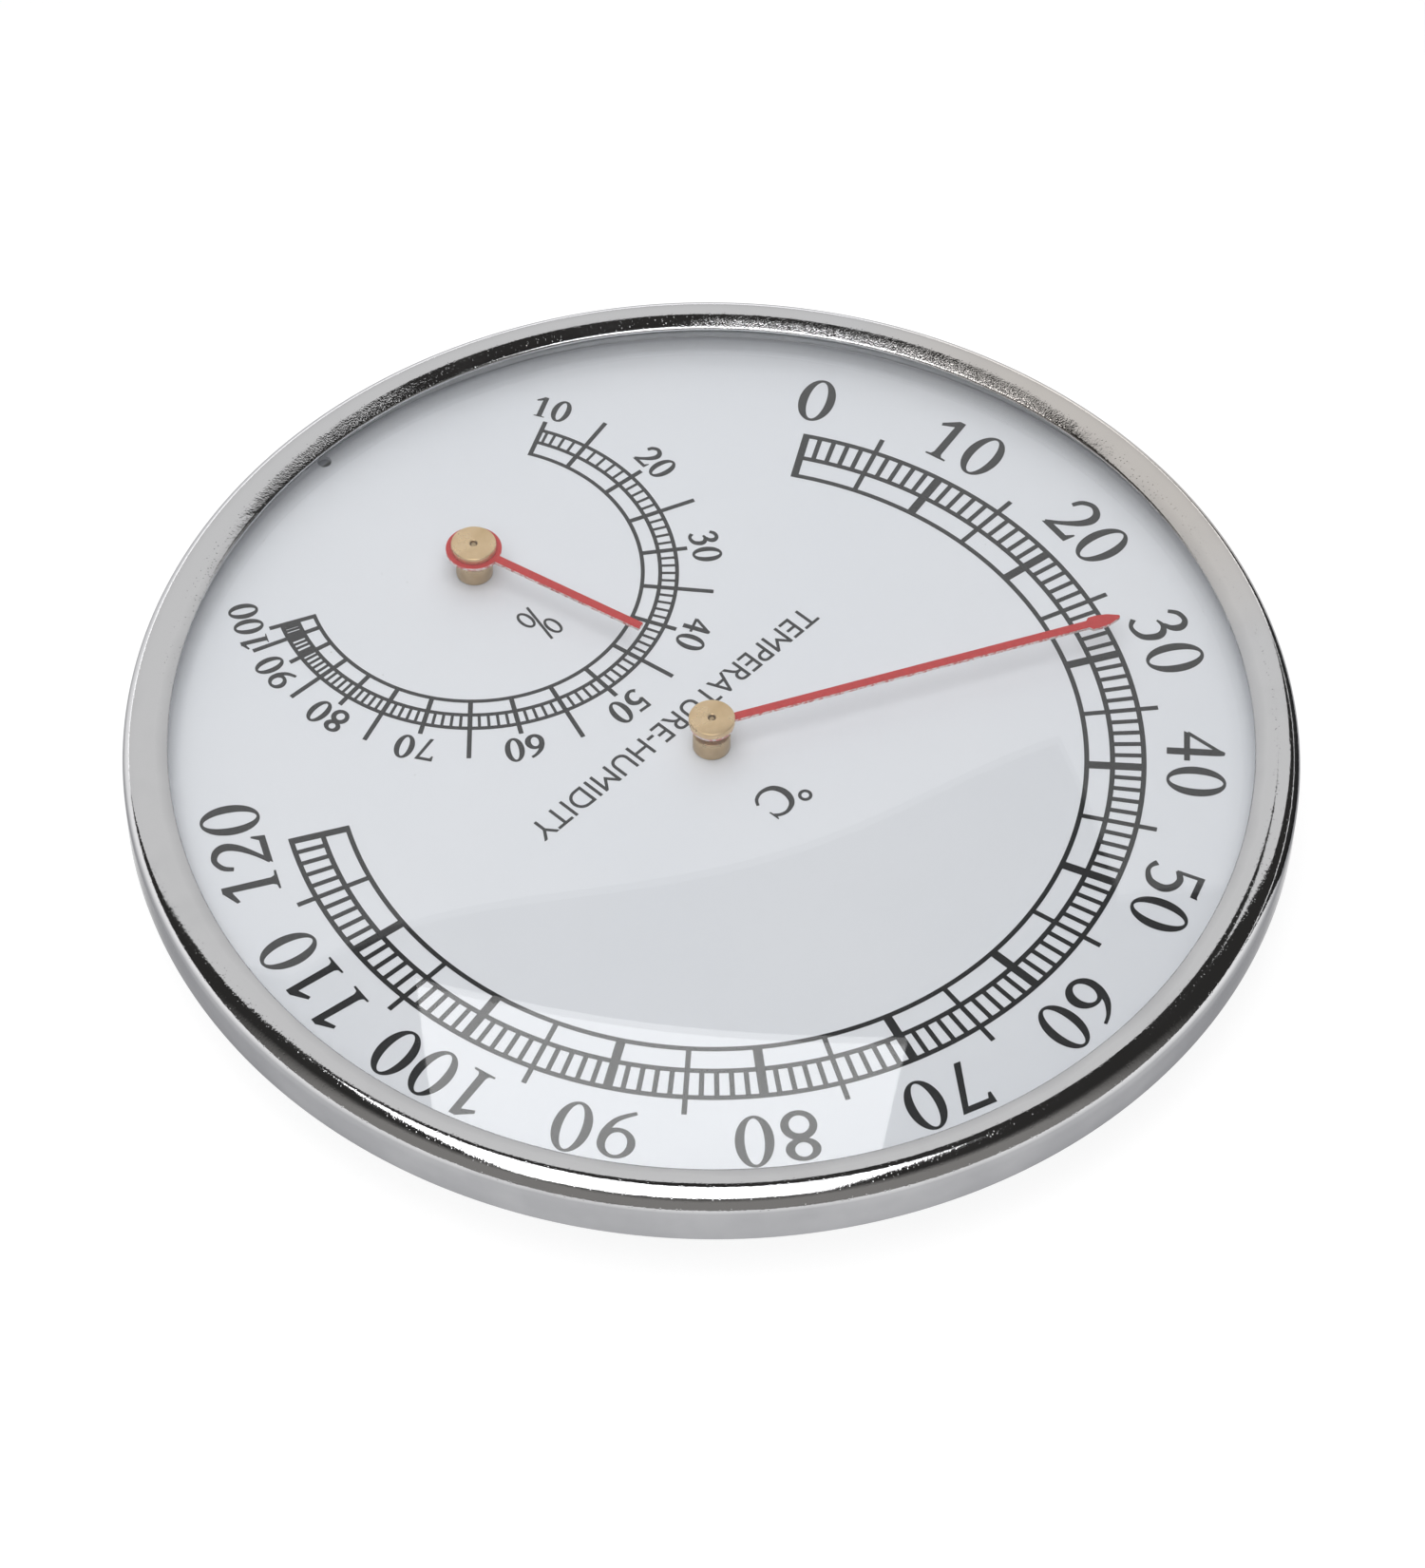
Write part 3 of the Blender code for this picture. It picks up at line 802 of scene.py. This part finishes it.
def coated_strip():
    """Humidity strip: a fibrous coating on a thin carrier."""
    finish = Finish("coated_strip", (0.62, 0.58, 0.48), 0.7)
    fibres = finish.noise(1600.0, 4.0, finish.place((1, 1, 5)))
    finish.tint(fibres, (0.3, (0.68, 0.64, 0.54)), (0.75, (0.52, 0.47, 0.37)))
    finish.drive("Roughness", finish.fit(fibres, (0.3, 0.7), (0.6, 0.8)))
    finish.bump(fibres, 0.02)
    return finish.material


def clear_glass():
    """Clear glass: it lets the dial through unbent and reflects by Fresnel's law."""
    made = bpy.data.materials.new("clear_glass")
    made.use_nodes = True
    tree = made.node_tree
    tree.nodes.remove(tree.nodes["Principled BSDF"])
    facing = node(tree, "LayerWeight", {"Blend": 0.5}).outputs["Facing"]
    power = node(tree, "Math", {0: facing, 1: 5.0}, operation="POWER").outputs["Value"]
    share = node(tree, "MapRange", {"Value": power, "To Min": 0.042, "To Max": 1.0}).outputs["Result"]
    coords = node(tree, "TexCoord").outputs["Object"]
    haze = node(tree, "TexNoise", {"Vector": coords, "Scale": 40.0, "Detail": 3.0}).outputs["Fac"]
    rough = node(tree, "MapRange", {"Value": haze, "To Min": 0.0, "To Max": 0.035}).outputs["Result"]
    clear = node(tree, "BsdfTransparent", {"Color": (0.985, 0.99, 0.992, 1)})
    gloss = node(tree, "BsdfGlossy", {"Color": (1, 1, 1, 1), "Roughness": rough})
    mixed = node(tree, "MixShader", {"Fac": share, 1: clear.outputs["BSDF"], 2: gloss.outputs["BSDF"]})
    tree.links.new(mixed.outputs["Shader"], tree.nodes["Material Output"].inputs["Surface"])
    return made


def floor_paint():
    """Plain white sweep under the object, with a little light of its own so that it stays pale."""
    finish = Finish("floor_paint", (0.25, 0.25, 0.25), 0.8)
    finish.set("Emission Color", (1, 1, 1, 1))
    finish.set("Emission Strength", 0.84)
    return finish.material


# ---------------------------------------------------------------- pieces


def finish_piece(obj, materials, slot, body, *nodes):
    """Gives a piece its finish and its body, and hides the CAD nodes it stands for; the slot is not
    used.
    """
    for material in materials:
        obj.data.materials.append(material)
    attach(obj, body)
    if nodes:
        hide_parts(*nodes)
    return obj


def inward(point, tilt, radius):
    """Centre of the arc that passes on smoothly from a point whose surface tilts inward."""
    turn = math.radians(90 + tilt)
    return (point[0] - radius * math.cos(turn), point[1] - radius * math.sin(turn))


def bezel(finish):
    """Chromed rim: rolled lip, rounded slope, crest, shoulder, skirt and a crimp under the case."""
    shoulder_centre = (CASE_R - SHOULDER_R, BEZEL_TOP - SHOULDER_R)
    shoulder = arc(shoulder_centre, SHOULDER_R, 0, 90 + SHOULDER_END, 26)
    slope_centre = inward(shoulder[-1], SHOULDER_END, SLOPE_R)
    slope = arc(slope_centre, SLOPE_R, 90 + SHOULDER_END, 90 + SLOPE_END, 10)
    lip_centre = inward(slope[-1], SLOPE_END, LIP_ROLL_R)
    lip = arc(lip_centre, LIP_ROLL_R, 90 + SLOPE_END, 270, 10)
    inner = CASE_R - BEZEL_WALL
    under = [(shoulder_centre[0] - 0.5, lip[-1][1] + 0.05)]
    under += arc(shoulder_centre, SHOULDER_R - BEZEL_WALL, 85, 0, 10)
    outside = shoulder + slope[1:]
    foot = BEZEL_FOOT - SKIRT_DROP
    crimp = rounded([
        (inner, shoulder_centre[1] - 0.5, 0),
        (inner, foot + 0.5, 0.15),
        (CASE_R - CRIMP_W, foot + 0.5, 0.15),
        (CASE_R - CRIMP_W, foot, 0.15),
        (CASE_R, foot, 0.25),
        (CASE_R, foot + 2.0, 0),
    ])
    obj = lathe("bezel", outside + lip[1:] + under + crimp, 288)
    return finish_piece(obj, [finish], "chrome", "case", "bezel_ring")


def glass(finish):
    """Domed glass of even thickness with a ground edge."""
    rings = 36
    sag = GLASS_TOP - GLASS_T - GLASS_EDGE_Z
    radii = [GLASS_R * i / rings for i in range(rings + 1)]
    under = [(r, GLASS_EDGE_Z + sag * (1 - (r / GLASS_R) ** GLASS_POWER)) for r in radii]
    over = [(r, z + GLASS_T) for r, z in under]
    obj = lathe("glass", over + under[::-1], 192, closed=False)
    return finish_piece(obj, [finish], "glass", "case", "glass_lens")


def spacer(finish):
    """Thin ring with eased edges between the dial and the glass."""
    inner = GLASS_R - SPACER_W
    middle = (SPACER_FOOT + SPACER_TOP) / 2
    corners = [
        (inner, middle, 0),
        (inner, SPACER_TOP, 0.12),
        (GLASS_R, SPACER_TOP, 0.12),
        (GLASS_R, SPACER_FOOT, 0.12),
        (inner, SPACER_FOOT, 0.12),
        (inner, middle - 0.05, 0),
    ]
    obj = lathe("spacer", rounded(corners, 3), 192)
    return finish_piece(obj, [finish], "spacer", "case", "spacer_ring")


def dial_sheet(finish):
    """White sheet with a hole for each bush and the small locating hole at 6 o'clock."""
    outlines = [
        circle((0, 0), DIAL_R, 240),
        circle((0, 0), BUSH_HOLE_R, 48),
        circle((0, HYGRO_Y), BUSH_HOLE_R, 48),
        circle(LOCATING_HOLE[:2], LOCATING_HOLE[2], 32),
    ]
    obj = plate("dial_sheet", [filled(outlines)], DIAL_FOOT, DIAL_Z)
    return finish_piece(obj, [finish], "dial", "case", "dial_plate")


def printing(finish):
    """The printed scales, numerals, unit signs and words, as thin layers of ink on the sheet."""
    foot = DIAL_Z + INK_GAP
    glyphs = {letter: union(cells) for letter, cells in digit_cells(0.008).items()}
    small_glyphs = {letter: union(cells) for letter, cells in digit_cells(0.05).items()}
    nudges = {10: -0.15, 20: 0.15, 40: -0.8, 50: -0.3, 60: -0.25, 70: -0.7, 80: -0.7, 110: -0.75}
    thermo = [union(thermo_scale_cells())]
    for value in range(0, 121, 10):
        nudge = nudges.get(value, -0.1)
        angle = thermo_angle(value)
        thermo += numerals(str(value), angle, THERMO_NUMERAL_R, THERMO_NUMERAL_H, 0, glyphs, nudge)
    hygro = [union(hygro_scale_cells())]
    for value in range(10, 101, 10):
        angle = {90: 102.3, 100: 118.4}.get(value, hygro_angle(value))
        hygro += numerals(str(value), angle, HYGRO_NUMERAL_R, HYGRO_NUMERAL_H, HYGRO_Y, small_glyphs)
    signs = [union(cells) for cells in unit_sign_cells()]
    layers = {
        "thermo_scale_print": thermo,
        "hygro_scale_print": hygro,
        "unit_signs_print": signs,
        "word_line_print": [word_line()],
    }
    for name, shapes in layers.items():
        finish_piece(plate(name, shapes, foot, foot + INK_T), [finish], "dial", "case")


def back_case(finish):
    """Pressed pan: flat floor with vents, sloping flank, ledge, joggle and rim."""
    floor_r = 50.4  # where the cut sheet with the vents passes into the turned flank
    bend_r, flank_top = 53.25, 8.65
    ledge_r = 60.2
    steps = 240
    ledge_z = DIAL_FOOT - 0.1
    joggle_z = DIAL_Z - 0.1
    side_r = RIM_R - 0.5
    outside = rounded([
        (floor_r, 0, 0),
        (bend_r, 0, 2.2),
        (side_r, flank_top, 0.8),
        (side_r, joggle_z, 0.1),
        (RIM_R, joggle_z, 0.15),
        (RIM_R, RIM_TOP, 0.2),
        (RIM_R - SHEET, RIM_TOP, 0.2),
        (RIM_R - SHEET, joggle_z + 0.35, 0.1),
        (side_r - SHEET, joggle_z + 0.1, 0.1),
        (side_r - SHEET, ledge_z, 0.1),
        (ledge_r, ledge_z, 0.1),
        (ledge_r, flank_top - 0.55, 0.5),
        (bend_r - 0.55, SHEET, 1.6),
        (floor_r, SHEET, 0),
    ])
    holes = [circle(HANGING_HOLE[:2], HANGING_HOLE[2], 48)]
    for axis_y in (0, HYGRO_Y):
        for i in range(VENTS):
            x, y = clock(360 * (i + 0.5) / VENTS, VENT_RING_R, axis_y)
            holes.append(circle((x, y), VENT_R, 32))
    edge = circle((0, 0), floor_r, steps)
    points, faces = filled([edge] + holes)
    shape = bmesh.new()
    for z, turned in ((0, True), (SHEET, False)):
        spots = level_verts(shape, points, z)
        for face in faces:
            order = face[::-1] if turned else face
            shape.faces.new([spots[i] for i in order])
    for hole in holes:
        join_rings(shape, *[level_verts(shape, hole, z) for z in (0, SHEET)])
    rings = [level_verts(shape, circle((0, 0), r, steps), z) for r, z in outside]
    for lower, upper in zip(rings, rings[1:]):
        join_rings(shape, lower, upper)
    bmesh.ops.remove_doubles(shape, verts=shape.verts, dist=0.000002)
    bmesh.ops.recalc_face_normals(shape, faces=shape.faces)
    obj = new_object("pressed_case", shape)
    return finish_piece(obj, [finish], "case", "case", "back_case")


def bush(side, axis_y, finish):
    """Shouldered bearing with a bevelled top, standing on the dial."""
    shoulder = DIAL_Z + 0.1
    profile = rounded([
        (BUSH_BORE_R, BUSH_FOOT, 0),
        (BUSH_BORE_R, BUSH_TOP - 0.1, 0),
        (BUSH_BORE_R + 0.1, BUSH_TOP, 0),
        (BUSH_R, BUSH_TOP, 0.14),
        (BUSH_R, shoulder, 0.06),
        (BUSH_STEM_R, shoulder, 0.05),
        (BUSH_STEM_R, BUSH_FOOT, 0),
    ], 4)
    obj = lathe(side + "_bearing", profile, 72, centre_y=axis_y)
    return finish_piece(obj, [finish], "brass", "case", side + "_bush")


def hub_cap(side, axis_y, finish):
    """Turned cap with a bevelled rim, a counterbored centre hole and a narrow neck."""
    under = CAP_TOP - CAP_DISC_H
    profile = rounded([
        (CAP_BORE_R, CAP_FOOT, 0),
        (CAP_BORE_R, CAP_TOP - 0.08, 0),
        (CAP_BORE_R + 0.08, CAP_TOP, 0.03),
        (CAP_R - 0.02, CAP_TOP, 0.13),
        (CAP_R, under, 0.08),
        (CAP_NECK_R + 0.02, under, 0.05),
        (CAP_NECK_R, CAP_FOOT, 0),
    ], 4)
    obj = lathe(side + "_cap", profile, 96, centre_y=axis_y)
    return finish_piece(obj, [finish], "brass", side + "_hand", side + "_hub_cap")


def staff(side, axis_y, finish):
    """Stepped arbor with a domed tip that shows in the cap's hole."""
    profile = [(0, STAFF_TOP)] + rounded([
        (0.1, STAFF_TOP, 0),
        (STAFF_TIP_R, STAFF_TOP - 0.02, 0.1),
        (STAFF_TIP_R, CAP_FOOT - 0.1, 0),
        (STAFF_R, CAP_FOOT - 0.1, 0.08),
        (STAFF_R, STAFF_PIVOT_TOP, 0.08),
        (STAFF_PIVOT_R, STAFF_PIVOT_TOP, 0),
        (STAFF_PIVOT_R, STAFF_FOOT, 0.12),
        (0.1, STAFF_FOOT, 0),
    ], 4) + [(0, STAFF_FOOT)]
    obj = lathe(side + "_arbor", profile, 48, closed=False, centre_y=axis_y)
    return finish_piece(obj, [finish], "steel", side + "_hand", side + "_staff")


def hand_outline(length, eye_r, arrow):
    """Outline of a hand along +Y: eye, strip, then an arrow head or a square end."""
    half = HAND_W / 2
    join = math.degrees(math.asin(half / eye_r))
    outline = arc((0, 0), eye_r, 90 + join, 450 - join, 60)
    if arrow:
        right = [(half, length - 3.75, 0), (0.86, length - 3.45, 0.1), (0.885, length - 2.6, 0.6)]
        right += [(0.70, length - 1.3, 1.5), (0.16, length - 0.05, 0.1), (0, length, 0)]
        side = rounded(right, 5)
        outline += side + [(-x, y) for x, y in side[-2::-1]]
    else:
        corner = rounded([(half, length - 1, 0), (half, length, 0.08), (0, length, 0)], 3)
        outline += corner[:-1] + [(-x, y) for x, y in corner[-2::-1]]
    return outline


def pointer(side, axis_y, reading, size, arrow, lacquered, bare):
    """Flat hand: lacquer on its face, bare metal on its cut edges and underside."""
    hole = circle((0, 0), HAND_HOLE_R, 48)
    shape = filled([hand_outline(*size, arrow), hole])
    obj = plate(side + "_hand_blade", [shape], HAND_FOOT, HAND_TOP, axis_y)
    obj.rotation_euler.z = -math.radians(reading)
    for polygon in obj.data.polygons:
        polygon.material_index = 0 if polygon.normal.z > 0.5 else 1
    return finish_piece(obj, [lacquered, bare], "red_paint", side + "_hand", side + "_pointer")


def repaint(finish, *nodes):
    """Gives carried-over CAD nodes a finish."""
    for name in nodes:
        obj = frame["nodes"][name]
        obj.data.materials.clear()
        obj.data.materials.append(finish)


def build():
    turned_brass = brass("turned_brass", True)
    # Painted shade: a darker copy of the brass, for the bearings that stand in the shade under the caps.
    shaded_brass = brass("shaded_brass", True, (0.58, 0.43, 0.26), (0.42, 0.29, 0.15))
    plain_brass = brass("plain_brass", False)
    plain_steel = steel()
    straw_steel = arbor_steel()
    red = lacquer()
    bare = bare_edge()
    bezel(chrome())
    glass(clear_glass())
    spacer(spacer_plastic())
    dial_sheet(enamel())
    printing(ink())
    back_case(pressed_steel())
    for side, axis_y in (("thermo", 0.0), ("hygro", HYGRO_Y)):
        bush(side, axis_y, shaded_brass)
        hub_cap(side, axis_y, turned_brass)
        staff(side, axis_y, straw_steel)
        repaint(plain_steel, side + "_bush_washer", side + "_bridge", side + "_anchor_post")
        repaint(plain_brass, side + "_bush_nut", side + "_coil_collet")
    pointer("thermo", 0.0, THERMO_READING, THERMO_HAND, True, red, bare)
    pointer("hygro", HYGRO_Y, HYGRO_READING, HYGRO_HAND, False, red, bare)
    repaint(bimetal(), "thermo_coil")
    repaint(coated_strip(), "hygro_coil")


# ---------------------------------------------------------------- floor, light and camera

CAMERA_AZIMUTH = math.radians(42.79)
CAMERA_ELEVATION = math.radians(51.06)
CAMERA_ROLL = math.radians(0.674)
CAMERA_DISTANCE = 591.9
CAMERA_TARGET = (3.83, 3.75, 10.1)
CAMERA_LENS = 126.17
SOFT_BOX_RADIANCE = 2.6
CARD_RADIANCE = 0.70
FILL_RADIANCE = 0.89

ASIDE = Vector((-math.sin(CAMERA_AZIMUTH), math.cos(CAMERA_AZIMUTH), 0))
NEARER = Vector((math.cos(CAMERA_AZIMUTH), math.sin(CAMERA_AZIMUTH), 0))
UP = Vector((0, 0, 1))


def studio(aside, nearer, up):
    """A direction or place given as right of the camera, towards it and up."""
    return ASIDE * aside + NEARER * nearer + UP * up


def turned_to(x_axis, z_axis, place):
    """Matrix of an object with these axes at a place in millimetres."""
    z = z_axis.normalized()
    x = (x_axis - z * x_axis.dot(z)).normalized()
    y = z.cross(x)
    rows = [(x[i], y[i], z[i], place[i] * MM) for i in range(3)]
    return Matrix(rows + [(0, 0, 0, 1)])


def camera():
    lens = bpy.data.cameras.new("camera")
    lens.lens = CAMERA_LENS
    lens.sensor_width = 36
    lens.clip_start = 0.01
    lens.clip_end = 20
    obj = bpy.data.objects.new("camera", lens)
    bpy.context.scene.collection.objects.link(obj)
    back = NEARER * math.cos(CAMERA_ELEVATION) + UP * math.sin(CAMERA_ELEVATION)
    above = back.cross(ASIDE)
    right = ASIDE * math.cos(CAMERA_ROLL) + above * math.sin(CAMERA_ROLL)
    place = Vector(CAMERA_TARGET) + back * CAMERA_DISTANCE
    obj.matrix_world = turned_to(right, back, place)
    bpy.context.scene.camera = obj


def radiant_light(name, width, depth, radiance, x_axis, z_axis, place, glossy=True):
    """A rectangular light of an even brightness, hidden from the camera."""
    light = bpy.data.lights.new(name, "AREA")
    light.shape = "RECTANGLE"
    light.size = width * MM
    light.size_y = depth * MM
    light.energy = radiance * math.pi * light.size * light.size_y
    obj = bpy.data.objects.new(name, light)
    bpy.context.scene.collection.objects.link(obj)
    obj.matrix_world = turned_to(x_axis, z_axis, place)
    obj.visible_camera = False
    obj.visible_glossy = glossy
    return obj


def lights():
    """A soft box over the near side, white cards behind the far side and a broad fill."""
    along = studio(0.966, 0.098, 0.238)
    slope = studio(-0.026, 0.958, -0.286)
    box_width, box_depth = 238, 300
    box_place = studio(-15.4, -53.4, 350) + slope * box_depth / 2
    out = slope.cross(along)
    radiant_light("soft_box", box_width, box_depth, SOFT_BOX_RADIANCE, along, out, box_place)
    card_place = studio(-174, -120, 150)
    card_edge = studio(0.786, 0, -0.619)
    radiant_light("white_card", 676, 360, CARD_RADIANCE, card_edge, -NEARER, card_place)
    side_place = studio(203, -120, 184)
    side_card = radiant_light("side_card", 165, 160, CARD_RADIANCE, card_edge, -NEARER, side_place)
    side_card.visible_diffuse = False
    radiant_light("fill", 1600, 1600, FILL_RADIANCE, ASIDE, UP, studio(0, 0, 1200), False)


def world():
    """A dark room with a dim wall on the near side, and plain white for the camera."""
    made = bpy.data.worlds.new("studio")
    made.use_nodes = True
    bpy.context.scene.world = made
    tree = made.node_tree
    tree.nodes.clear()
    direction = node(tree, "TexCoord").outputs["Generated"]
    height = node(tree, "SeparateXYZ", {0: direction}).outputs["Z"]
    low = {"Value": height, "From Min": 0.62, "From Max": 0.84, "To Min": 0.22, "To Max": 0.0}
    wall = node(tree, "MapRange", low).outputs["Result"]
    ahead = node(tree, "VectorMath", {0: direction, 1: NEARER}, operation="DOT_PRODUCT").outputs["Value"]
    side = node(tree, "MapRange", {"Value": ahead, "From Min": 0.05, "From Max": 0.45}).outputs["Result"]
    lit = {0: wall, 1: side, 2: 0.03}
    total = node(tree, "Math", lit, operation="MULTIPLY_ADD").outputs["Value"]
    seen = node(tree, "LightPath").outputs["Is Camera Ray"]
    lit_room = node(tree, "Background", {"Color": (1.0, 0.97, 0.93, 1), "Strength": total})
    plain = node(tree, "Background", {"Color": (1, 1, 1, 1), "Strength": 1.0})
    mixed = node(tree, "MixShader", {"Fac": seen, 1: lit_room.outputs[0], 2: plain.outputs[0]})
    out = node(tree, "OutputWorld")
    tree.links.new(mixed.outputs["Shader"], out.inputs["Surface"])


def floor():
    shape = bmesh.new()
    bmesh.ops.create_grid(shape, x_segments=8, y_segments=8, size=4.0)
    obj = new_object("floor", shape, (0, 0, -0.0002))
    obj.data.materials.append(floor_paint())


def black_paper():
    """Low dark sheet beside the object, there only to be mirrored in the right of the rim."""
    shape = bmesh.new()
    corners = [(76, -160), (260, -160), (260, 10), (76, 10)]
    spots = [shape.verts.new(studio(aside, nearer, 0.5) * MM) for aside, nearer in corners]
    shape.faces.new(spots)
    obj = new_object("black_paper", shape)
    obj.data.materials.append(Finish("black_paper", (0.01, 0.01, 0.01), 0.9).material)
    obj.visible_camera = False
    obj.visible_diffuse = False
    obj.visible_shadow = False


build()
floor()
black_paper()
world()
lights()
camera()
bpy.context.scene.view_settings.view_transform = "Standard"
